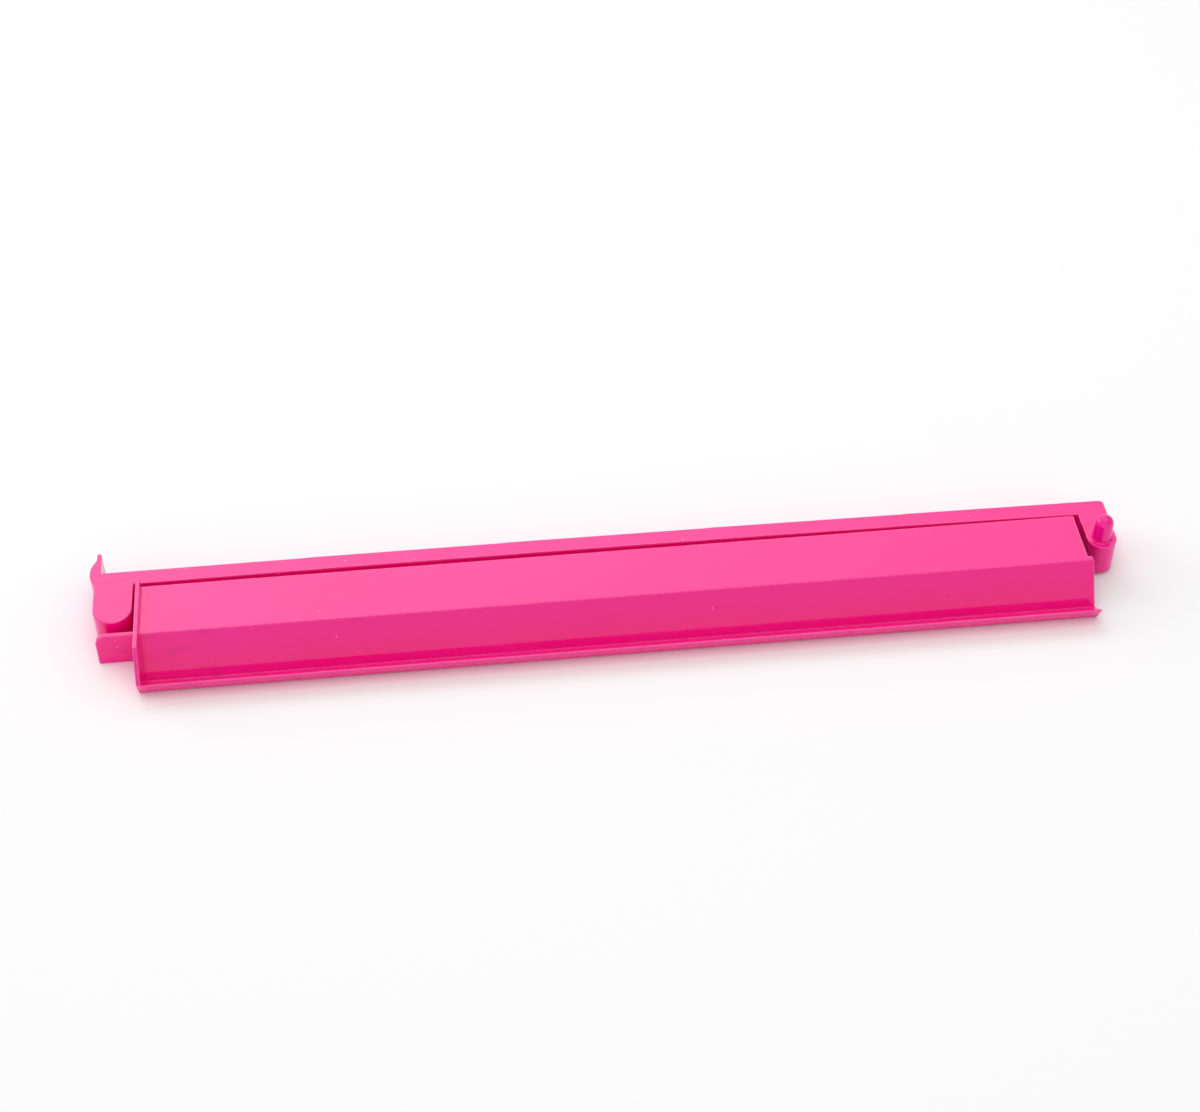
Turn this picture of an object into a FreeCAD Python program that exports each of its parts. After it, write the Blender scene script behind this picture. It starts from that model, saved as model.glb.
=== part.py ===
import FreeCAD, Part
import math
import os
from FreeCAD import Vector

# A long plastic sectioning clip: a jaw bar with a V gutter along its front, and a clamp
# arm that swings on a post at one end and hooks round the other end.
# Millimetres. X runs along the clip from the hinge to the hook, Y runs from the gutter
# at the front to the arm at the back, Z is up. While it is drawn, x = 0 is the outer
# face of the end plate, y = 0 is the back of the jaw bar and z = 0 is the underside.

# --- jaw bar -------------------------------------------------------------------------
jaw_length = 200.0          # end plate's outer face to the free end of the top plate
jaw_width = 13.8            # back face to the fold
jaw_height = 9.4
top_thickness = 1.2
wall_thickness = 1.0        # sloping front wall and back wall
wall_overhang = 1.05        # sloping wall and lip pass the free end of the top plate
gutter_reach = 5.4          # fold to gutter bottom, measured forward
gutter_height = 0.7         # gutter bottom above the underside
lip_reach = 4.4             # gutter bottom to lip tip, measured forward
lip_height = 4.3            # lip tip above the underside
lip_undercut = 2.1          # lip tip to the front of the foot, measured back
fold_radius = 0.4
gutter_radius = 0.2
lip_radius = 0.15
foot_radius = 0.3
back_edge_radius = 0.25
free_corner_radius = 0.3    # top corner of the sloping wall's free end
back_corner_radius = 0.6    # back corner of the top plate's free end
rib_count = 7
rib_thickness = 0.8
rib_clearance = 3.0         # ribs stop this far above the underside
ejector_radius = 1.5        # round marks that the mould's pins leave under the plate
ejector_depth = 0.1

# --- end plate -----------------------------------------------------------------------
end_thickness = 0.9
end_rise = 1.7              # above the top plate
end_tail = 0.7              # behind the back face
end_overhang = 5.4          # top edge beyond the fold
end_corner_radius = 0.35
end_toe_radius = 1.0        # rounded corner under the lip
end_edge_radius = 0.2

# --- hinge cradle --------------------------------------------------------------------
cradle_length = 8.5         # beyond the end plate
floor_thickness = 1.1
floor_setback = 2.35        # back face of the jaw bar to the back edge of the floor
floor_corner_radius = 0.6
upright_thickness = 1.2
upright_height = 7.8
upright_corner_radius = 2.3
upright_edge_radius = 0.3
cradle_fillet = 0.8         # upright to floor and upright to end plate
hub_gap = 1.1               # hub to upright
end_gap = 0.72              # hub to end plate

# --- hinge ---------------------------------------------------------------------------
hub_radius = 4.08
hub_back = 2.2              # back edge of the raised hub top, behind the jaw's back face
pivot_setback = 6.0         # back face of the jaw bar to the hinge axis
post_radius = 1.9
post_height = 7.2
post_tip_radius = 0.5
bead_rise = 0.22            # snap bead round the post
bead_height = 0.7
bead_setback = 1.1          # post's top to the middle of the bead
running_clearance = 0.06    # radial, post in bore
thrust_clearance = 0.1      # hub on floor, and either side of the bead
bore_headroom = 0.4
hub_corner_radius = 0.6
hub_edge_radius = 0.25

# --- clamp arm -----------------------------------------------------------------------
arm_height = 8.2
arm_width = 3.9
arm_gap_hinge = 2.1         # arm's front face to the jaw's back face, at the hinge
arm_gap_hook = 1.4          # and at the hook
arm_bow = 0.5               # outward bow at mid length
arm_wall = 1.1
arm_top = 1.3
arm_edge_radius = 0.2
arm_rib_count = 9
arm_rib_thickness = 0.9
step_depth = 0.5            # underside step, in front of the jaw's back face
arm_rise = 0.6              # underside is this much higher at the hook than at the hub
hook_gap = 1.75             # bridge to the free end of the top plate
boss_radius = 3.2
boss_setback = 6.05         # back face of the jaw bar to the boss's axis
boss_wall = 1.3
hook_corner_radius = 1.1
peg_base_radius = 2.15
peg_tip_radius = 1.9
peg_top = 14.3
peg_root_radius = 0.3

# --- finger tab ----------------------------------------------------------------------
tab_thickness = 1.05
tab_length = 5.9            # beyond the arm's back face, at the top
tab_lean = 0.8              # the tip's foot stands this much further out than its top
tab_bulge = 1.32            # outward swell between hub and tab tip
tab_pad = 1.4               # flat stretch at the tip
tab_blend_radius = 2.0
tab_tip_radius = 0.4

# --- derived places ------------------------------------------------------------------
hub_bottom = floor_thickness + thrust_clearance
bead_level = post_height - bead_setback
end_top = jaw_height + end_rise
pivot_x = -(end_gap + hub_radius)
pivot_y = -pivot_setback
hub_left = pivot_x - hub_radius
hub_right = pivot_x + hub_radius
fold_y = -jaw_width
gutter_y = fold_y - gutter_reach
lip_y = gutter_y - lip_reach
foot_y = lip_y + lip_undercut
upright_back = pivot_y - hub_radius - hub_gap
upright_front = upright_back - upright_thickness
hook_x = jaw_length + hook_gap
boss_x = hook_x + boss_radius
hook_right = hook_x + 2 * boss_radius
arm_back = arm_gap_hinge + arm_width
tab_tip_y = arm_back + tab_length + tab_lean
mid_x = (hub_left - tab_bulge + hook_right) / 2
mid_y = (lip_y + tab_tip_y) / 2


def rounded_outline(corners, place):
    """Closed wire through corners (a, b, radius); place(a, b) gives the point in space."""
    edges = []
    starts = []
    ends = []
    middles = []
    count = len(corners)
    for i in range(count):
        a, b, radius = corners[i]
        before = corners[i - 1]
        after = corners[(i + 1) % count]
        back = Vector(before[0] - a, before[1] - b, 0).normalize()
        ahead = Vector(after[0] - a, after[1] - b, 0).normalize()
        half = back.getAngle(ahead) / 2
        corner = Vector(a, b, 0)
        if radius == 0:
            starts.append(corner)
            ends.append(corner)
            middles.append(None)
            continue
        inset = radius / math.tan(half)
        centre = corner + (back + ahead).normalize() * (radius / math.sin(half))
        starts.append(corner + back * inset)
        ends.append(corner + ahead * inset)
        middles.append(centre + (corner - centre).normalize() * radius)
    for i in range(count):
        if middles[i] is not None:
            turn = [place(p.x, p.y) for p in (starts[i], middles[i], ends[i])]
            edges.append(Part.Arc(*turn).toShape())
        nxt = (i + 1) % count
        if (starts[nxt] - ends[i]).Length > 1e-6:
            edges.append(Part.makeLine(place(ends[i].x, ends[i].y), place(starts[nxt].x, starts[nxt].y)))
    return Part.Wire(edges)


def section_bar(corners, x_start, x_end):
    """Bar along X with its outline given as (y, z, radius)."""
    wire = rounded_outline(corners, lambda y, z: Vector(x_start, y, z))
    return Part.Face(wire).extrude(Vector(x_end - x_start, 0, 0))


def plan_block(corners, z_bottom, z_top):
    """Upright block with its outline given as (x, y, radius)."""
    wire = rounded_outline(corners, lambda x, y: Vector(x, y, z_bottom))
    return Part.Face(wire).extrude(Vector(0, 0, z_top - z_bottom))


def box(x0, x1, y0, y1, z0, z1):
    return Part.makeBox(x1 - x0, y1 - y0, z1 - z0, Vector(x0, y0, z0))


def turned(profile, x, y):
    """Solid of revolution about a vertical axis; profile holds (radius, z) points."""
    points = [Vector(x + r, y, z) for r, z in profile]
    points.append(points[0])
    face = Part.Face(Part.makePolygon(points))
    return face.revolve(Vector(x, y, 0), Vector(0, 0, 1), 360)


def edges_where(shape, test):
    """Edges whose middle point passes the test."""
    found = []
    for edge in shape.Edges:
        middle = edge.valueAt((edge.FirstParameter + edge.LastParameter) / 2)
        if test(middle, edge):
            found.append(edge)
    return found


def near(a, b):
    return abs(a - b) < 1e-4


def wall_inner_y(z):
    """Inner face of the sloping wall at height z."""
    slope = gutter_reach / (jaw_height - gutter_height)
    offset = wall_thickness * math.hypot(1, slope)
    return fold_y - (jaw_height - z) * slope + offset


def jaw_shell():
    """Top plate, sloping wall, lip and back wall, with ribs under the plate."""
    front = [
        (fold_y, jaw_height, fold_radius),
        (gutter_y, gutter_height, gutter_radius),
        (lip_y, lip_height, lip_radius),
        (foot_y, 0, foot_radius),
        (wall_inner_y(0), 0, 0),
    ]
    cavity_top = jaw_height - top_thickness
    channel = front + [
        (wall_inner_y(cavity_top), cavity_top, 0),
        (-wall_thickness, cavity_top, 0),
        (-wall_thickness, 0, 0),
        (0, 0, 0),
        (0, jaw_height, back_edge_radius),
    ]
    shell = section_bar(channel, 0, jaw_length)
    shell = shell.cut(back_corner_cutter())
    wall = front + [(wall_inner_y(jaw_height), jaw_height, 0)]
    wall_bar = section_bar(wall, 0, jaw_length + wall_overhang)
    wall_bar = wall_bar.cut(wall_end_cutter())
    shell = shell.fuse(wall_bar)
    rib = [
        (wall_inner_y(rib_clearance) - wall_thickness / 2, rib_clearance, 0),
        (wall_inner_y(cavity_top) - wall_thickness / 2, cavity_top + top_thickness / 2, 0),
        (-wall_thickness / 2, cavity_top + top_thickness / 2, 0),
        (-wall_thickness / 2, rib_clearance, 0),
    ]
    pitch = jaw_length / (rib_count + 1)
    for i in range(rib_count):
        x = pitch * (i + 1)
        shell = shell.fuse(section_bar(rib, x - rib_thickness / 2, x + rib_thickness / 2))
    mark_y = (wall_inner_y(cavity_top) - wall_thickness) / 2
    for i in range(rib_count + 1):
        foot = Vector(pitch * (i + 0.5), mark_y, cavity_top - 1)
        shell = shell.cut(Part.makeCylinder(ejector_radius, 1 + ejector_depth, foot))
    return shell


def back_corner_cutter():
    """What rounds the back corner of the top plate's free end, seen from above."""
    r = back_corner_radius
    block = box(jaw_length - r, jaw_length + r, -r, r, -r, jaw_height + r)
    roller = Part.makeCylinder(r, jaw_height + 2 * r, Vector(jaw_length - r, -r, -r))
    return block.cut(roller)


def wall_end_cutter():
    """What rounds the top corner of the wall's free end, seen square to the wall."""
    x_end = jaw_length + wall_overhang
    r = free_corner_radius
    block = box(x_end - r, x_end + r, lip_y, 0, jaw_height - r, jaw_height + r)
    centre = Vector(x_end - r, lip_y - 1, jaw_height - r)
    roller = Part.makeCylinder(r, jaw_width * 3, centre, Vector(0, 1, 0))
    return block.cut(roller)


def end_plate():
    """Thin plate that closes the hinge end; its outline stands proud of the jaw bar."""
    outline = [
        (end_tail, 0, end_corner_radius),
        (end_tail, end_top, end_corner_radius),
        (fold_y - end_overhang, end_top, end_corner_radius),
        (lip_y, lip_height, lip_radius),
        (foot_y, 0, end_toe_radius),
    ]
    plate = section_bar(outline, 0, end_thickness)
    slope_middle = (lip_height + end_top) / 2
    outer = edges_where(plate, lambda p, e: near(p.x, 0) and p.z > 0.5)
    inner = edges_where(
        plate, lambda p, e: near(p.x, end_thickness)
        and (p.z > slope_middle - 0.5 or p.y > 0 and p.z > 0.5))
    return plate.makeFillet(end_edge_radius, outer + inner)


def cradle():
    """Floor and upright that hold the hinge beyond the end plate."""
    left = -cradle_length
    inside = end_thickness / 2
    floor = plan_block([
        (left, upright_front + upright_thickness / 2, 0),
        (inside, upright_front + upright_thickness / 2, 0),
        (inside, -floor_setback, 0),
        (left, -floor_setback, floor_corner_radius),
    ], 0, floor_thickness)
    wire = rounded_outline([
        (left, 0, 0),
        (inside, 0, 0),
        (inside, upright_height, 0),
        (left, upright_height, upright_corner_radius),
    ], lambda x, z: Vector(x, upright_front, z))
    upright = Part.Face(wire).extrude(Vector(0, upright_thickness, 0))
    rim = edges_where(upright, lambda p, e: (near(p.y, upright_front) or near(p.y, upright_back))
                      and p.x < inside - 0.1 and p.z > floor_thickness)
    upright = upright.makeFillet(upright_edge_radius, rim)
    body = floor.fuse(upright)
    body = body.fuse(inner_fillet(left, inside))
    return body.fuse(corner_fillet())


def inner_fillet(x_start, x_end):
    """Hollow fillet between the floor and the upright."""
    r = cradle_fillet
    block = box(x_start, x_end, upright_back, upright_back + r, floor_thickness, floor_thickness + r)
    centre = Vector(x_start - 1, upright_back + r, floor_thickness + r)
    return block.cut(Part.makeCylinder(r, x_end - x_start + 2, centre, Vector(1, 0, 0)))


def corner_fillet():
    """Hollow fillet between the upright's front face and the end plate."""
    r = cradle_fillet
    top = upright_height - upright_edge_radius
    block = box(-r, 0, upright_front - r, upright_front, 0, top)
    return block.cut(Part.makeCylinder(r, top, Vector(-r, upright_front - r, 0)))


def hinge_post():
    """Post on the cradle floor, with the bead that the arm snaps over."""
    half = bead_height / 2
    profile = [
        (0, floor_thickness / 2),
        (post_radius, floor_thickness / 2),
        (post_radius, bead_level - half),
        (post_radius + bead_rise, bead_level),
        (post_radius, bead_level + half),
        (post_radius, post_height - post_tip_radius),
        (post_radius - post_tip_radius, post_height),
        (0, post_height),
    ]
    return turned(profile, pivot_x, pivot_y)


def jaw_bar():
    body = jaw_shell()
    for piece in (end_plate(), cradle(), hinge_post()):
        body = body.fuse(piece)
    return body.removeSplitter()


def arm_front_y(x):
    """Front face of the bowed arm at x."""
    span = hook_x - hub_right
    share = (x - hub_right) / span
    straight = arm_gap_hinge + (arm_gap_hook - arm_gap_hinge) * share
    return straight + 4 * arm_bow * share * (1 - share)


def arm_plan():
    """Outline of the arm from the hub to the boss, at full height, with the finger tab."""
    middle_x = (hub_right + hook_x) / 2
    hook_back = arm_gap_hook + arm_width
    front_start = Vector(hub_right, arm_gap_hinge, 0)
    front_middle = Vector(middle_x, arm_front_y(middle_x), 0)
    front_end = Vector(hook_x, arm_gap_hook, 0)
    boss_left = Vector(hook_x, -boss_setback, 0)
    boss_front = Vector(boss_x, -boss_setback - boss_radius, 0)
    boss_right = Vector(hook_right, -boss_setback, 0)
    back_middle = Vector(middle_x, arm_front_y(middle_x) + arm_width, 0)
    back_end = Vector(hub_left + tab_thickness, arm_back, 0)
    # the hook's corner touches both its end face and the bowed back
    bow = Part.Circle(Vector(hook_right, hook_back, 0), back_middle, back_end)
    r = hook_corner_radius
    across = hook_right - r - bow.Center.x
    centre = Vector(hook_right - r, bow.Center.y + math.sqrt((bow.Radius - r) ** 2 - across ** 2), 0)
    outward = (centre - bow.Center).normalize()
    corner_start = centre + Vector(r, 0, 0)
    corner_middle = centre + (outward + Vector(1, 0, 0)).normalize() * r
    corner_end = centre + outward * r
    tab_start = Vector(hub_left, hub_back, 0)
    step_end = Vector(hub_left, -step_depth, 0)
    return Part.Wire([
        Part.makeLine(step_end, Vector(hub_right, -step_depth, 0)),
        Part.makeLine(Vector(hub_right, -step_depth, 0), front_start),
        Part.Arc(front_start, front_middle, front_end).toShape(),
        Part.makeLine(front_end, boss_left),
        Part.Arc(boss_left, boss_front, boss_right).toShape(),
        Part.makeLine(boss_right, corner_start),
        Part.Arc(corner_start, corner_middle, corner_end).toShape(),
        Part.Arc(corner_end, back_middle, back_end).toShape(),
        Part.makeLine(back_end, tab_start),
        Part.makeLine(tab_start, step_end),
    ])


def tab_outline(length, z):
    """Tab outline at height z: inner face, round tip, flat pad, hollow blend and swell."""
    r = min(tab_tip_radius, tab_thickness * 0.4)
    side = r * math.sqrt(0.5)
    tip_y = arm_back + length
    root = Vector(hub_left + tab_thickness, arm_back, z)
    inner_tip = Vector(root.x - r / 4, tip_y - r, z)
    tip_inner_mid = Vector(inner_tip.x - r + side, inner_tip.y + side, z)
    tip_inner_end = Vector(inner_tip.x - r, tip_y, z)
    tip_outer_start = Vector(hub_left + r, tip_y, z)
    tip_outer_mid = Vector(hub_left + r - side, inner_tip.y + side, z)
    tip_outer_end = Vector(hub_left, tip_y - r, z)
    pad_end = Vector(hub_left, tip_y - tab_pad, z)
    # the swell is a circle through the hub's back corner, and the blend a smaller circle
    # that touches both it and the pad
    swell_start = Vector(hub_left, hub_back, z)
    blend_centre = Vector(hub_left - tab_blend_radius, pad_end.y, z)
    radius = swell_circle_radius(pad_end.y - hub_back)
    swell_centre = Vector(hub_left - tab_bulge + radius, hub_back + swell_rise(radius), z)
    meet = swell_centre + (blend_centre - swell_centre).normalize() * radius
    blend_mid = blend_centre + (meet + pad_end - blend_centre * 2).normalize() * tab_blend_radius
    swell_mid = swell_centre + (meet + swell_start - swell_centre * 2).normalize() * radius
    return Part.Wire([
        Part.makeLine(root, inner_tip),
        Part.Arc(inner_tip, tip_inner_mid, tip_inner_end).toShape(),
        Part.makeLine(tip_inner_end, tip_outer_start),
        Part.Arc(tip_outer_start, tip_outer_mid, tip_outer_end).toShape(),
        Part.makeLine(tip_outer_end, pad_end),
        Part.Arc(pad_end, blend_mid, meet).toShape(),
        Part.Arc(meet, swell_mid, swell_start).toShape(),
        Part.makeLine(swell_start, root),
    ])


def finger_tab():
    """Tab whose tip leans in towards the top."""
    foot = tab_outline(tab_length + tab_lean, 0)
    head = tab_outline(tab_length, arm_height)
    return Part.makeLoft([foot, head], True, True)


def swell_rise(radius):
    """How far behind the hub's corner the swell's centre lies, for a swell of this radius."""
    return math.sqrt(radius ** 2 - (radius - tab_bulge) ** 2)


def swell_circle_radius(rise):
    """Radius at which the swell just touches the blend circle, found by halving the range."""
    low = tab_bulge
    high = 10 * rise
    for _ in range(60):
        radius = (low + high) / 2
        across = tab_blend_radius - tab_bulge + radius
        along = rise - swell_rise(radius)
        if math.hypot(across, along) > radius + tab_blend_radius:
            low = radius
        else:
            high = radius
    return (low + high) / 2


def hub():
    """Raised hub: straight sides, round front about the hinge axis, cored from below."""
    left = Vector(hub_left, pivot_y, hub_bottom)
    front = Vector(pivot_x, pivot_y - hub_radius, hub_bottom)
    right = Vector(hub_right, pivot_y, hub_bottom)
    r = hub_corner_radius
    slant = r * (1 - math.sqrt(0.5))
    edges = [
        Part.Arc(left, front, right).toShape(),
        Part.makeLine(right, Vector(hub_right, hub_back - r, hub_bottom)),
        Part.Arc(Vector(hub_right, hub_back - r, hub_bottom),
                 Vector(hub_right - slant, hub_back - slant, hub_bottom),
                 Vector(hub_right - r, hub_back, hub_bottom)).toShape(),
        Part.makeLine(Vector(hub_right - r, hub_back, hub_bottom),
                      Vector(hub_left + r, hub_back, hub_bottom)),
        Part.Arc(Vector(hub_left + r, hub_back, hub_bottom),
                 Vector(hub_left + slant, hub_back - slant, hub_bottom),
                 Vector(hub_left, hub_back - r, hub_bottom)).toShape(),
        Part.makeLine(Vector(hub_left, hub_back - r, hub_bottom), left),
    ]
    block = Part.Face(Part.Wire(edges)).extrude(Vector(0, 0, jaw_height - hub_bottom))
    rim = edges_where(block, lambda p, e: near(p.z, jaw_height))
    return block.makeFillet(hub_edge_radius, rim)


def hub_bore():
    """Blind bore for the post, with a groove for its bead."""
    radius = post_radius + running_clearance
    half = bead_height / 2 + thrust_clearance
    profile = [
        (0, -1),
        (radius, -1),
        (radius, bead_level - half),
        (radius + bead_rise, bead_level),
        (radius, bead_level + half),
        (radius, post_height + bore_headroom),
        (0, post_height + bore_headroom),
    ]
    return turned(profile, pivot_x, pivot_y)


def peg():
    """Tapered finger peg with a round top and a small root fillet."""
    tip_centre = peg_top - peg_tip_radius
    root = arm_height - arm_top / 2
    r = peg_root_radius
    outline = [
        Part.makeLine(Vector(boss_x, -boss_setback, root),
                      Vector(boss_x + peg_base_radius + r, -boss_setback, root)),
        Part.makeLine(Vector(boss_x + peg_base_radius + r, -boss_setback, root),
                      Vector(boss_x + peg_base_radius + r, -boss_setback, arm_height)),
        Part.Arc(Vector(boss_x + peg_base_radius + r, -boss_setback, arm_height),
                 Vector(boss_x + peg_base_radius + r * (1 - math.sqrt(0.5)), -boss_setback,
                        arm_height + r * (1 - math.sqrt(0.5))),
                 Vector(boss_x + peg_base_radius, -boss_setback, arm_height + r)).toShape(),
        Part.makeLine(Vector(boss_x + peg_base_radius, -boss_setback, arm_height + r),
                      Vector(boss_x + peg_tip_radius, -boss_setback, tip_centre)),
        Part.Arc(Vector(boss_x + peg_tip_radius, -boss_setback, tip_centre),
                 Vector(boss_x + peg_tip_radius * math.sqrt(0.5), -boss_setback,
                        tip_centre + peg_tip_radius * math.sqrt(0.5)),
                 Vector(boss_x, -boss_setback, peg_top)).toShape(),
        Part.makeLine(Vector(boss_x, -boss_setback, peg_top), Vector(boss_x, -boss_setback, root)),
    ]
    face = Part.Face(Part.Wire(outline))
    return face.revolve(Vector(boss_x, -boss_setback, 0), Vector(0, 0, 1), 360)


def arm_cores():
    """Pockets that keep the arm's walls even, between cross ribs; open underneath."""
    pockets = []
    top = arm_height - arm_top
    first = hub_right + arm_wall
    last = hook_x
    pitch = (last - first + arm_rib_thickness) / (arm_rib_count + 1)
    for i in range(arm_rib_count + 1):
        x0 = first + pitch * i
        x1 = x0 + pitch - arm_rib_thickness
        front = max(arm_front_y(x0), arm_front_y(x1)) + arm_wall
        back = min(arm_front_y(x0), arm_front_y(x1)) + arm_width - arm_wall
        pockets.append(box(x0, x1, front, back, -1, top))
    core_radius = boss_radius - boss_wall
    pockets.append(Part.makeCylinder(core_radius, top + 1, Vector(boss_x, -boss_setback, -1)))
    bridge_back = arm_gap_hook
    pockets.append(box(boss_x - core_radius, boss_x + core_radius, -boss_setback, bridge_back, -1, top))
    return pockets


def underside_wedge():
    """What is taken off the arm's underside, so that it rises towards the hook."""
    past = 1
    points = [
        Vector(hub_right, lip_y, -past),
        Vector(hook_right, lip_y, -past),
        Vector(hook_right, lip_y, arm_rise),
        Vector(hub_right, lip_y, 0),
        Vector(hub_right, lip_y, -past),
    ]
    return Part.Face(Part.makePolygon(points)).extrude(Vector(0, tab_tip_y - lip_y, 0))


def clamp_arm():
    body = Part.Face(arm_plan()).extrude(Vector(0, 0, arm_height))
    body = body.fuse(finger_tab()).removeSplitter()
    rim = edges_where(body, lambda p, e: near(p.z, arm_height) and p.y > -boss_setback - boss_radius - 1
                      and not (hub_left - 0.1 < p.x < hub_right + 0.1 and p.y < arm_gap_hinge + 0.2))
    body = body.makeFillet(arm_edge_radius, rim)
    body = body.fuse(hub())
    body = body.fuse(peg())
    body = body.cut(hub_bore())
    for pocket in arm_cores():
        body = body.cut(pocket)
    body = body.cut(underside_wedge())
    return body.removeSplitter()


os.makedirs("parts", exist_ok=True)
for name, make in (("jaw_bar", jaw_bar), ("clamp_arm", clamp_arm)):
    solid = make()
    solid.translate(Vector(-mid_x, -mid_y, 0))
    solid.exportStep("parts/" + name + ".step")
    print(name, len(solid.Solids), solid.isValid(), round(solid.Volume, 1), solid.BoundBox)
print("hinge axis", round(pivot_x - mid_x, 4), round(pivot_y - mid_y, 4))
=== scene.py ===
import math

import bmesh
import bpy
from mathutils import Matrix, Vector


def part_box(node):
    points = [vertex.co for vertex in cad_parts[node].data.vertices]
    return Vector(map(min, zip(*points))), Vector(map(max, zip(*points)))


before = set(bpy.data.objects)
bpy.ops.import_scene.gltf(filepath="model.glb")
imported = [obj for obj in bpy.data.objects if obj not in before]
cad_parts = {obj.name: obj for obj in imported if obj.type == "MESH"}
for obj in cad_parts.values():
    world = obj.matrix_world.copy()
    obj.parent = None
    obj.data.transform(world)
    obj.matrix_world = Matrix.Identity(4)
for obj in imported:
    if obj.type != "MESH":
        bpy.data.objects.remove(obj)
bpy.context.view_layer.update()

bl_info = {
    "name": "Sectioning Clip Finish",
    "version": (1, 0, 0),
    "blender": (4, 5, 0),
    "location": "View3D > Sidebar > Sectioning Clip",
    "description": "Moulded plastic finish and studio stage for a two-piece hair sectioning clip",
    "category": "Material",
}

# Lowest and highest corners of the two mouldings, in metres.
JAW_LOW, JAW_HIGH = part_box("jaw_bar")
ARM_LOW, ARM_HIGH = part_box("clamp_arm")

# Heights of the parting edges that get trimmed: the jaw's front lip and the arm's top.
LIP_HEIGHT = 0.0043
ARM_TOP = 0.0082

# How near one of those heights a nick has to be to count as on the edge.
EDGE_BAND = 0.00035

# Where the flow curls start to fade and where they are gone, measured from the gate.
GATE_NEAR, GATE_FAR = 0.003, 0.022

# Real widths of the plastic's patterns, in millimetres.
CLOUD_SPAN = 40.0
PATCH_SPAN = 18.0
NICK_SPACING = 1.6
DRAW_SPACING = 0.4

# How much patterns are stretched along the clip: draw lines, scuffs and flow curls.
DRAW_STRETCH, SCUFF_STRETCH, CURL_STRETCH = 0.013, 0.05, 0.25

# Directions of the two sets of scuffs, in radians from the clip's length.
SCUFF_TURNS = (0.35, -0.6)

# Relief of each mark on the surface, in millimetres.
WAVE_RELIEF = 0.010
DRAW_RELIEF = 0.0012
CURL_RELIEF = 0.006
SCUFF_RELIEF = -0.002
NICK_RELIEF = 0.02

# Roughness that each mark adds to the polish.
CURL_DULL = 0.02
SCUFF_DULL = 0.12
NICK_DULL = 0.3

# Width of the paper's fibres, in millimetres.
FIBRE_WIDTH = 1.2

# The floor lies a hair under the flat underside, so that the two never share one plane.
FLOOR = -0.0001

# Where the camera stands, in metres, and the way it looks.
CAMERA_PLACE = (-0.0387, -0.3378, 0.3489)
CAMERA_SIGHT = (0.0766, 0.7075, -0.7026)


def linear(hex_colour):
    """Turn an sRGB hex colour, such as "fa008e", into linear red, green, blue and alpha."""
    def channel(pair):
        value = int(pair, 16) / 255.0
        if value <= 0.04045:
            return value / 12.92
        return ((value + 0.055) / 1.055) ** 2.4

    return tuple(channel(hex_colour[i:i + 2]) for i in (0, 2, 4)) + (1.0,)


def per_feature(millimetres):
    """The texture scale at which one feature of a pattern is this many millimetres across."""
    return 1000.0 / millimetres


# ---------------------------------------------------------------------------
# What a user would change
# ---------------------------------------------------------------------------

class ClipPlasticSettings(bpy.types.PropertyGroup):
    """Colour and surface of the moulded plastic."""

    pigment: bpy.props.FloatVectorProperty(
        name="Pigment", description="Colour of the plastic itself, under its gloss",
        subtype="COLOR", size=4, min=0.0, max=1.0, default=linear("fa008e"))
    bloom: bpy.props.FloatVectorProperty(
        name="Pale cloud", description="Colour of the slow clouds where the dye is a little thinner",
        subtype="COLOR", size=4, min=0.0, max=1.0, default=linear("fc1a9a"))
    deep: bpy.props.FloatVectorProperty(
        name="Deep streak", description="Colour of the deeper curls where the melt entered",
        subtype="COLOR", size=4, min=0.0, max=1.0, default=linear("d0006a"))
    speck: bpy.props.FloatVectorProperty(
        name="Nick", description="Colour of the whitened nicks where flash was trimmed",
        subtype="COLOR", size=4, min=0.0, max=1.0, default=linear("ffc4e2"))
    # Colour of the painted highlight laid along open edges.
    rub: bpy.props.FloatVectorProperty(
        name="Edge", description="Colour of the open edges, rubbed pale",
        subtype="COLOR", size=4, min=0.0, max=1.0, default=linear("ff8cc8"))
    polish: bpy.props.FloatProperty(
        name="Polish", description="Roughness left by the polished mould steel",
        subtype="FACTOR", min=0.0, max=1.0, default=0.075)
    streak_width: bpy.props.FloatProperty(
        name="Flow mark width", description="Distance between two flow marks near the gate",
        unit="LENGTH", subtype="DISTANCE", min=0.0005, max=0.02, default=0.0035)
    # How far the painted edge highlight reaches from an edge.
    edge_width: bpy.props.FloatProperty(
        name="Edge width", description="How far the pale rub reaches from an edge",
        unit="LENGTH", subtype="DISTANCE", min=0.00005, max=0.002, default=0.00045)
    scuff_width: bpy.props.FloatProperty(
        name="Scuff width", description="Width of one fine handling scuff",
        unit="LENGTH", subtype="DISTANCE", min=0.00005, max=0.002, default=0.00025)
    glow_depth: bpy.props.FloatProperty(
        name="Glow depth", description="How far light travels inside the plastic",
        unit="LENGTH", subtype="DISTANCE", min=0.0, max=0.01, default=0.0012)


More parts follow.
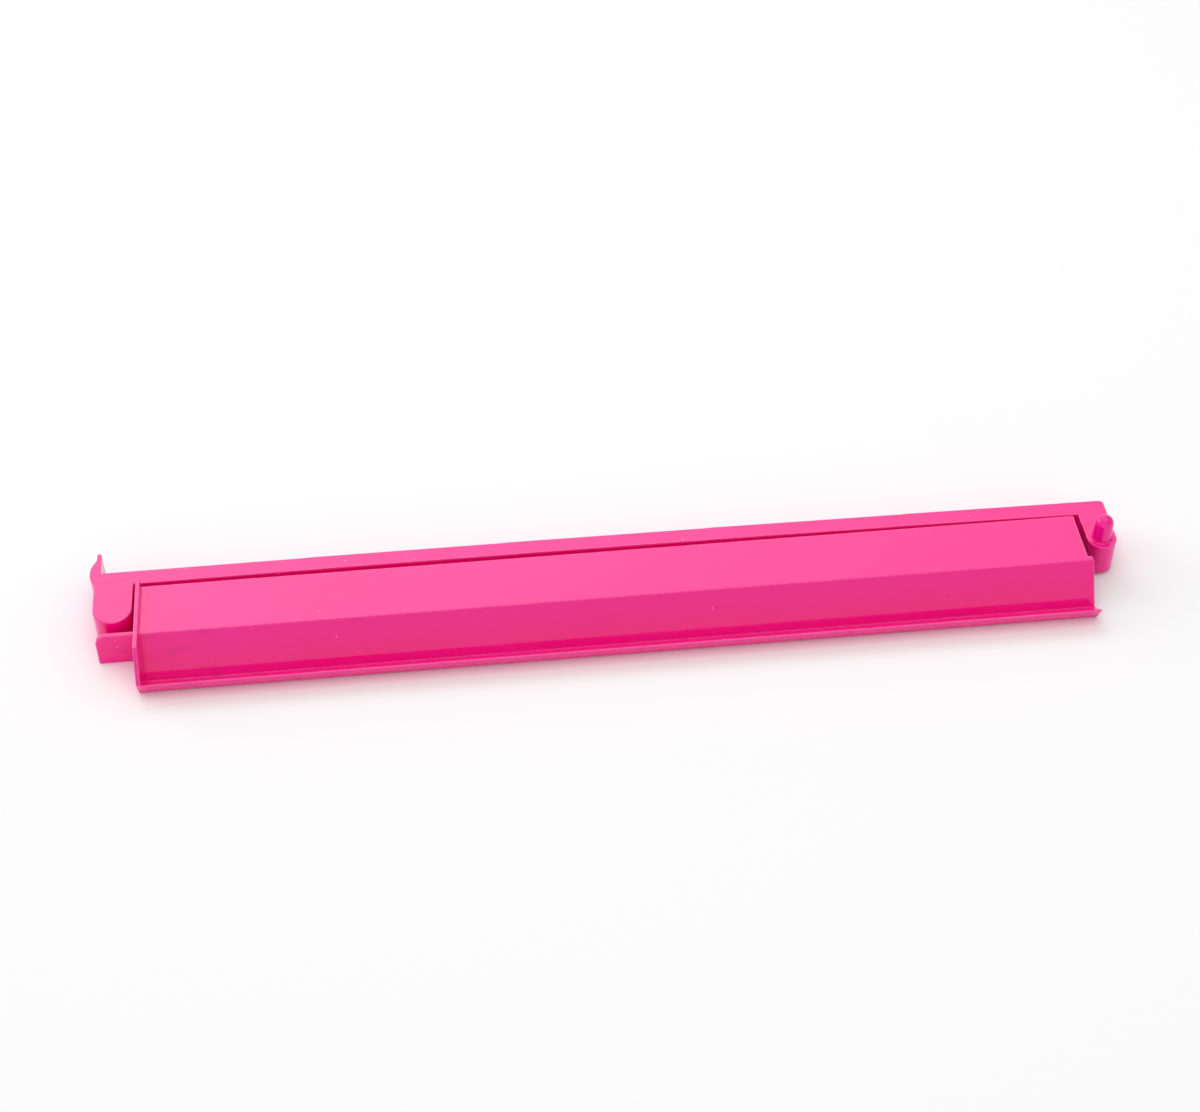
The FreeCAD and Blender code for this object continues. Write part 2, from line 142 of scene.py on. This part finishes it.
class ClipStageSettings(bpy.types.PropertyGroup):
    """Floor, light and camera."""

    floor_colour: bpy.props.FloatVectorProperty(
        name="Floor", description="Colour of the matt paper floor",
        subtype="COLOR", size=4, min=0.0, max=1.0, default=linear("fbfbfb"))
    floor_width: bpy.props.FloatProperty(
        name="Floor width", description="Width of the square floor",
        unit="LENGTH", subtype="DISTANCE", min=1.0, max=20.0, default=6.0)
    tent_light: bpy.props.FloatProperty(
        name="Tent light", description="Brightness of the white light tent all round",
        min=0.0, max=10.0, default=0.60)
    back_light: bpy.props.FloatProperty(
        name="Back panel", description="Power of the large soft panel above and behind",
        subtype="POWER", min=0.0, max=200.0, default=0.72)
    top_light: bpy.props.FloatProperty(
        name="Top panel", description="Power of the soft panel straight above",
        subtype="POWER", min=0.0, max=200.0, default=2.4)
    left_light: bpy.props.FloatProperty(
        name="Left panel", description="Power of the soft panel low on the left, behind",
        subtype="POWER", min=0.0, max=200.0, default=3.5)
    front_light: bpy.props.FloatProperty(
        name="Front panel", description="Power of the soft panel low in front",
        subtype="POWER", min=0.0, max=200.0, default=0.8)
    lens: bpy.props.FloatProperty(
        name="Lens", description="Focal length on a 36 mm wide sensor",
        subtype="DISTANCE_CAMERA", min=20.0, max=200.0, default=68.44)


# ---------------------------------------------------------------------------
# Materials
# ---------------------------------------------------------------------------

def add(tree, kind, settings=None, links=None):
    """Add a node, set its properties and sockets, and link its inputs from (node, output) pairs."""
    node = tree.nodes.new(kind)
    for name, value in (settings or {}).items():
        if isinstance(name, str) and hasattr(node, name) and name not in node.inputs:
            setattr(node, name, value)
        else:
            node.inputs[name].default_value = value
    for name, (source, output) in (links or {}).items():
        tree.links.new(source.outputs[output], node.inputs[name])
    return node


def moulded_plastic(name, settings, gate, edge_levels, seed):
    """Glossy injection-moulded ABS, dyed right through.

    ABS shot into polished steel comes out with a wet-looking gloss, crisp reflections and a colour
    that glows a little in its thin walls. Near the gate, where the melt enters, faint curls of
    deeper dye show. The long polished faces carry draw lines from the polishing stones, fine
    scuffs from handling, and a few whitened nicks where thin flash was trimmed.
    """
    material = bpy.data.materials.new(name)
    material.use_nodes = True
    tree = material.node_tree
    tree.nodes.clear()

    coord = add(tree, "ShaderNodeTexCoord")
    place = add(tree, "ShaderNodeMapping", {"Location": (seed * 0.37, seed * 0.11, 0.0)},
                {"Vector": (coord, "Object")})

    # How near a point is to the gate, from 1 at the gate to 0 well away from it.
    from_gate = add(tree, "ShaderNodeVectorMath", {"operation": "DISTANCE", 1: gate},
                    {0: (coord, "Object")})
    near_gate = add(tree, "ShaderNodeMapRange",
                    {"interpolation_type": "SMOOTHSTEP", "From Min": GATE_NEAR, "From Max": GATE_FAR,
                     "To Min": 1.0, "To Max": 0.0},
                    {"Value": (from_gate, "Value")})

    # Slow clouds of dye.
    cloud = add(tree, "ShaderNodeTexNoise",
                {"Scale": per_feature(CLOUD_SPAN), "Detail": 2.0, "Roughness": 0.45},
                {"Vector": (place, "Vector")})

    # Curls of flow lines: noise stretched along the part and bent by its own distortion.
    curl_place = add(tree, "ShaderNodeMapping", {"Scale": (CURL_STRETCH, 1.0, 1.0)},
                     {"Vector": (place, "Vector")})
    curl = add(tree, "ShaderNodeTexNoise",
               {"Scale": 1.0 / settings.streak_width, "Detail": 4.0, "Roughness": 0.55,
                "Distortion": 1.8},
               {"Vector": (curl_place, "Vector")})
    curl_lines = add(tree, "ShaderNodeMapRange",
                     {"interpolation_type": "SMOOTHSTEP", "From Min": 0.50, "From Max": 0.68,
                      "To Min": 0.0, "To Max": 1.0},
                     {"Value": (curl, "Fac")})
    curl_here = add(tree, "ShaderNodeMath", {"operation": "MULTIPLY"},
                    {0: (curl_lines, "Result"), 1: (near_gate, "Result")})

    # Draw lines from polishing along the length, each about 30 mm long.
    draw_place = add(tree, "ShaderNodeMapping", {"Scale": (DRAW_STRETCH, 1.0, 1.0)},
                     {"Vector": (place, "Vector")})
    draw = add(tree, "ShaderNodeTexNoise",
               {"Scale": per_feature(DRAW_SPACING), "Detail": 2.0, "Roughness": 0.5},
               {"Vector": (draw_place, "Vector")})

    # Handling scuffs: two sets of short fine lines that cross at a shallow angle.
    scuffs = []
    for turn in SCUFF_TURNS:
        scuff_place = add(tree, "ShaderNodeMapping",
                          {"Rotation": (0.0, 0.0, turn), "Scale": (SCUFF_STRETCH, 1.0, 1.0)},
                          {"Vector": (place, "Vector")})
        scuff = add(tree, "ShaderNodeTexNoise",
                    {"Scale": 1.0 / settings.scuff_width, "Detail": 1.0, "Roughness": 0.5,
                     "Distortion": 0.2},
                    {"Vector": (scuff_place, "Vector")})
        scuffs.append(add(tree, "ShaderNodeMapRange",
                          {"From Min": 0.66, "From Max": 0.78, "To Min": 0.0, "To Max": 1.0},
                          {"Value": (scuff, "Fac")}))
    scuff_both = add(tree, "ShaderNodeMath", {"operation": "MAXIMUM"},
                     {0: (scuffs[0], "Result"), 1: (scuffs[1], "Result")})
    scuff_patch = add(tree, "ShaderNodeTexNoise",
                      {"Scale": per_feature(PATCH_SPAN), "Detail": 2.0, "Roughness": 0.5},
                      {"Vector": (place, "Vector")})
    scuff_where = add(tree, "ShaderNodeMapRange",
                      {"interpolation_type": "SMOOTHSTEP", "From Min": 0.46, "From Max": 0.64,
                       "To Min": 0.0, "To Max": 1.0},
                      {"Value": (scuff_patch, "Fac")})
    scuffed = add(tree, "ShaderNodeMath", {"operation": "MULTIPLY"},
                  {0: (scuff_both, "Value"), 1: (scuff_where, "Result")})

    # Whitened nicks: one small dot in a few of the cells, most of them on parting edges.
    cells = add(tree, "ShaderNodeTexVoronoi",
                {"feature": "F1", "Scale": per_feature(NICK_SPACING), "Randomness": 1.0},
                {"Vector": (place, "Vector")})
    dot = add(tree, "ShaderNodeMapRange",
              {"interpolation_type": "SMOOTHSTEP", "From Min": 0.04, "From Max": 0.10,
               "To Min": 1.0, "To Max": 0.0},
              {"Value": (cells, "Distance")})
    pick = add(tree, "ShaderNodeSeparateColor", {"mode": "RGB"}, {"Color": (cells, "Color")})
    height = add(tree, "ShaderNodeSeparateXYZ", None, {"Vector": (coord, "Object")})
    on_edge = None
    for level in edge_levels:
        near_level = add(tree, "ShaderNodeMath",
                         {"operation": "COMPARE", 1: level, 2: EDGE_BAND}, {0: (height, "Z")})
        if on_edge is None:
            on_edge = near_level
        else:
            on_edge = add(tree, "ShaderNodeMath", {"operation": "MAXIMUM"},
                          {0: (on_edge, "Value"), 1: (near_level, "Value")})
    odds = add(tree, "ShaderNodeMapRange", {"To Min": 0.988, "To Max": 0.72},
               {"Value": (on_edge, "Value")})
    chosen = add(tree, "ShaderNodeMath", {"operation": "GREATER_THAN"},
                 {0: (pick, "Red"), 1: (odds, "Result")})
    nick = add(tree, "ShaderNodeMath", {"operation": "MULTIPLY"},
               {0: (dot, "Result"), 1: (chosen, "Value")})

    # Colour: pigment, paler in the clouds, deeper in the curls, whitened at the nicks.
    cloud_pale = add(tree, "ShaderNodeMapRange",
                     {"From Min": 0.35, "From Max": 0.65, "To Min": 0.0, "To Max": 0.28},
                     {"Value": (cloud, "Fac")})
    clouded = add(tree, "ShaderNodeMix",
                  {"data_type": "RGBA", "clamp_factor": True, 6: tuple(settings.pigment),
                   7: tuple(settings.bloom)},
                  {0: (cloud_pale, "Result")})
    curl_deep = add(tree, "ShaderNodeMath", {"operation": "MULTIPLY", 1: 0.4},
                    {0: (curl_here, "Value")})
    dyed = add(tree, "ShaderNodeMix",
               {"data_type": "RGBA", "clamp_factor": True, 7: tuple(settings.deep)},
               {0: (curl_deep, "Value"), 6: (clouded, 2)})
    nicked = add(tree, "ShaderNodeMix",
                 {"data_type": "RGBA", "clamp_factor": True, 7: tuple(settings.speck)},
                 {0: (nick, "Value"), 6: (dyed, 2)})

    # Painted highlight on open edges: a paler colour is mixed in where the rounded and the true
    # normal part, away from inside corners, standing in for the light that the small roundings
    # catch.
    rounded = add(tree, "ShaderNodeBevel", {"samples": 4, "Radius": settings.edge_width})
    true_face = add(tree, "ShaderNodeNewGeometry")
    parallel = add(tree, "ShaderNodeVectorMath", {"operation": "DOT_PRODUCT"},
                   {0: (rounded, "Normal"), 1: (true_face, "Normal")})
    edge = add(tree, "ShaderNodeMapRange",
               {"interpolation_type": "SMOOTHSTEP", "From Min": 0.996, "From Max": 0.94,
                "To Min": 0.0, "To Max": 1.0},
               {"Value": (parallel, "Value")})
    openness = add(tree, "ShaderNodeAmbientOcclusion",
                   {"samples": 4, "only_local": True, "Distance": 0.0015})
    is_open = add(tree, "ShaderNodeMapRange",
                  {"interpolation_type": "SMOOTHSTEP", "From Min": 0.75, "From Max": 0.97,
                   "To Min": 0.0, "To Max": 0.42},
                  {"Value": (openness, "AO")})
    highlighted = add(tree, "ShaderNodeMath", {"operation": "MULTIPLY"},
                 {0: (edge, "Result"), 1: (is_open, "Result")})
    coloured = add(tree, "ShaderNodeMix",
                   {"data_type": "RGBA", "clamp_factor": True, 7: tuple(settings.rub)},
                   {0: (highlighted, "Value"), 6: (nicked, 2)})

    # Roughness: the polish, a little duller in scuffs, in the curls and in slow clouds.
    dull_cloud = add(tree, "ShaderNodeMapRange",
                     {"From Min": 0.3, "From Max": 0.7, "To Min": settings.polish - 0.025,
                      "To Max": settings.polish + 0.03},
                     {"Value": (scuff_patch, "Fac")})
    dull_curl = add(tree, "ShaderNodeMath", {"operation": "MULTIPLY_ADD", 1: CURL_DULL},
                    {0: (curl_here, "Value"), 2: (dull_cloud, "Result")})
    dull_scuff = add(tree, "ShaderNodeMath", {"operation": "MULTIPLY_ADD", 1: SCUFF_DULL},
                     {0: (scuffed, "Value"), 2: (dull_curl, "Value")})
    dull = add(tree, "ShaderNodeMath", {"operation": "MULTIPLY_ADD", 1: NICK_DULL},
               {0: (nick, "Value"), 2: (dull_scuff, "Value")})

    # Height of the surface detail in millimetres, which the bump's distance turns to metres.
    wave = add(tree, "ShaderNodeMath", {"operation": "MULTIPLY", 1: WAVE_RELIEF},
               {0: (cloud, "Fac")})
    with_draw = add(tree, "ShaderNodeMath", {"operation": "MULTIPLY_ADD", 1: DRAW_RELIEF},
                    {0: (draw, "Fac"), 2: (wave, "Value")})
    with_curl = add(tree, "ShaderNodeMath", {"operation": "MULTIPLY_ADD", 1: CURL_RELIEF},
                    {0: (curl_here, "Value"), 2: (with_draw, "Value")})
    with_scuff = add(tree, "ShaderNodeMath", {"operation": "MULTIPLY_ADD", 1: SCUFF_RELIEF},
                     {0: (scuffed, "Value"), 2: (with_curl, "Value")})
    with_nick = add(tree, "ShaderNodeMath", {"operation": "MULTIPLY_ADD", 1: NICK_RELIEF},
                    {0: (nick, "Value"), 2: (with_scuff, "Value")})
    relief = add(tree, "ShaderNodeBump", {"Strength": 1.0, "Distance": 0.001},
                 {"Height": (with_nick, "Value")})

    plastic = add(tree, "ShaderNodeBsdfPrincipled",
                  {"IOR": 1.53, "Subsurface Weight": 0.15,
                   "Subsurface Radius": (1.0, 0.06, 0.15),
                   "Subsurface Scale": settings.glow_depth},
                  {"Base Color": (coloured, 2), "Roughness": (dull, "Value"),
                   "Normal": (relief, "Normal")})
    add(tree, "ShaderNodeOutputMaterial", None, {"Surface": (plastic, "BSDF")})
    return material


def paper_floor(settings):
    """Matt white paper sweep: flat and even, with a faint tooth of fibres."""
    material = bpy.data.materials.new("paper_sweep_matt")
    material.use_nodes = True
    tree = material.node_tree
    tree.nodes.clear()
    coord = add(tree, "ShaderNodeTexCoord")
    fibre = add(tree, "ShaderNodeTexNoise",
                {"Scale": per_feature(FIBRE_WIDTH), "Detail": 3.0, "Roughness": 0.6},
                {"Vector": (coord, "Object")})
    tooth = add(tree, "ShaderNodeBump", {"Strength": 0.05, "Distance": 0.0002},
                {"Height": (fibre, "Fac")})
    dull = add(tree, "ShaderNodeMapRange", {"To Min": 0.85, "To Max": 0.95},
               {"Value": (fibre, "Fac")})
    paper = add(tree, "ShaderNodeBsdfPrincipled",
                {"Base Color": tuple(settings.floor_colour), "Specular IOR Level": 0.1},
                {"Normal": (tooth, "Normal"), "Roughness": (dull, "Result")})
    add(tree, "ShaderNodeOutputMaterial", None, {"Surface": (paper, "BSDF")})
    return material


def give_material(node, material):
    """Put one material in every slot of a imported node."""
    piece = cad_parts[node]
    for slot in piece.material_slots:
        slot.material = material
    if not piece.material_slots:
        piece.data.materials.append(material)


# ---------------------------------------------------------------------------
# Operators
# ---------------------------------------------------------------------------

class CLIP_OT_jaw_bar(bpy.types.Operator):
    """Give the long channelled jaw its moulded plastic"""

    bl_idname = "clip.finish_jaw_bar"
    bl_label = "Finish jaw bar"

    def execute(self, context):
        # The melt entered the jaw at the hinge end of its sloping wall.
        gate = (JAW_LOW.x + 0.011, JAW_LOW.y + 0.005, 0.005)
        give_material("jaw_bar", moulded_plastic(
            "abs_moulded_polished_jaw", context.scene.clip_plastic, gate,
            (0.0, LIP_HEIGHT, JAW_HIGH.z), 1.0))
        return {"FINISHED"}


class CLIP_OT_clamp_arm(bpy.types.Operator):
    """Give the clamp arm, with its hub, tab and peg, its moulded plastic"""

    bl_idname = "clip.finish_clamp_arm"
    bl_label = "Finish clamp arm"

    def execute(self, context):
        # The melt entered the arm at the peg end and met the tab last.
        gate = (ARM_HIGH.x - 0.012, ARM_HIGH.y - 0.006, 0.004)
        give_material("clamp_arm", moulded_plastic(
            "abs_moulded_polished_arm", context.scene.clip_plastic, gate,
            (0.0, ARM_TOP), 2.0))
        return {"FINISHED"}


class CLIP_OT_stage(bpy.types.Operator):
    """Lay the floor, hang the soft lights and place the camera"""

    bl_idname = "clip.build_stage"
    bl_label = "Build stage"

    def execute(self, context):
        settings = context.scene.clip_stage
        scene = context.scene

        sheet = bmesh.new()
        bmesh.ops.create_grid(sheet, x_segments=1, y_segments=1, size=settings.floor_width / 2,
                              matrix=Matrix.Translation((0.0, 0.0, FLOOR)))
        mesh = bpy.data.meshes.new("stage_floor")
        sheet.to_mesh(mesh)
        sheet.free()
        mesh.materials.append(paper_floor(settings))
        floor = bpy.data.objects.new("stage_floor", mesh)
        scene.collection.objects.link(floor)

        world = bpy.data.worlds.new("light_tent")
        world.use_nodes = True
        background = world.node_tree.nodes["Background"]
        background.inputs["Color"].default_value = (1.0, 1.0, 1.0, 1.0)
        background.inputs["Strength"].default_value = settings.tent_light
        scene.world = world

        soft_panel("panel_back", (0.05, 0.64, 0.66), (0.35, -0.05, 0.0), (1.0, 0.4), 97.0,
                   settings.back_light)
        soft_panel("panel_top", (0.0, -0.10, 1.0), (0.0, 0.0, 0.0), (0.8, 0.8), 180.0,
                   settings.top_light)
        soft_panel("panel_left", (-0.95, 0.50, 0.38), (0.0, 0.0, 0.0), (0.8, 0.6), 180.0,
                   settings.left_light)
        soft_panel("panel_front", (0.0, -1.1, 0.42), (0.0, 0.0, 0.0), (1.4, 0.7), 180.0,
                   settings.front_light)

        lens = bpy.data.cameras.new("camera")
        lens.sensor_fit = "HORIZONTAL"
        lens.sensor_width = 36.0
        lens.lens = settings.lens
        lens.clip_start = 0.01
        camera = bpy.data.objects.new("camera", lens)
        scene.collection.objects.link(camera)
        camera.location = CAMERA_PLACE
        camera.rotation_euler = Vector(CAMERA_SIGHT).to_track_quat("-Z", "Y").to_euler()
        scene.camera = camera

        scene.view_settings.view_transform = "Standard"
        return {"FINISHED"}


def soft_panel(name, place, target, size, spread, power):
    """Hang a rectangular soft light at a place, aimed at a target, with its spread in degrees."""
    light = bpy.data.lights.new(name, "AREA")
    light.shape = "RECTANGLE"
    light.size, light.size_y = size
    light.spread = math.radians(spread)
    light.energy = power
    lamp = bpy.data.objects.new(name, light)
    bpy.context.scene.collection.objects.link(lamp)
    lamp.location = place
    lamp.visible_camera = False
    aim = Vector(target) - Vector(place)
    lamp.rotation_euler = aim.to_track_quat("-Z", "Y").to_euler()


class CLIP_PT_sidebar(bpy.types.Panel):
    """Settings and steps of the sectioning clip"""

    bl_idname = "CLIP_PT_sidebar"
    bl_label = "Sectioning Clip"
    bl_space_type = "VIEW_3D"
    bl_region_type = "UI"
    bl_category = "Sectioning Clip"

    def draw(self, context):
        layout = self.layout
        for group in (context.scene.clip_plastic, context.scene.clip_stage):
            box = layout.box()
            for name in group.__annotations__:
                box.prop(group, name)
        for operator in OPERATORS:
            layout.operator(operator.bl_idname)


SETTINGS = (ClipPlasticSettings, ClipStageSettings)
OPERATORS = (CLIP_OT_jaw_bar, CLIP_OT_clamp_arm, CLIP_OT_stage)


def register():
    for cls in SETTINGS + OPERATORS + (CLIP_PT_sidebar,):
        bpy.utils.register_class(cls)
    bpy.types.Scene.clip_plastic = bpy.props.PointerProperty(type=ClipPlasticSettings)
    bpy.types.Scene.clip_stage = bpy.props.PointerProperty(type=ClipStageSettings)


def unregister():
    del bpy.types.Scene.clip_stage
    del bpy.types.Scene.clip_plastic
    for cls in reversed(SETTINGS + OPERATORS + (CLIP_PT_sidebar,)):
        bpy.utils.unregister_class(cls)


def main():
    register()
    bpy.ops.clip.finish_jaw_bar()
    bpy.ops.clip.finish_clamp_arm()
    bpy.ops.clip.build_stage()


if __name__ == "__main__":
    main()
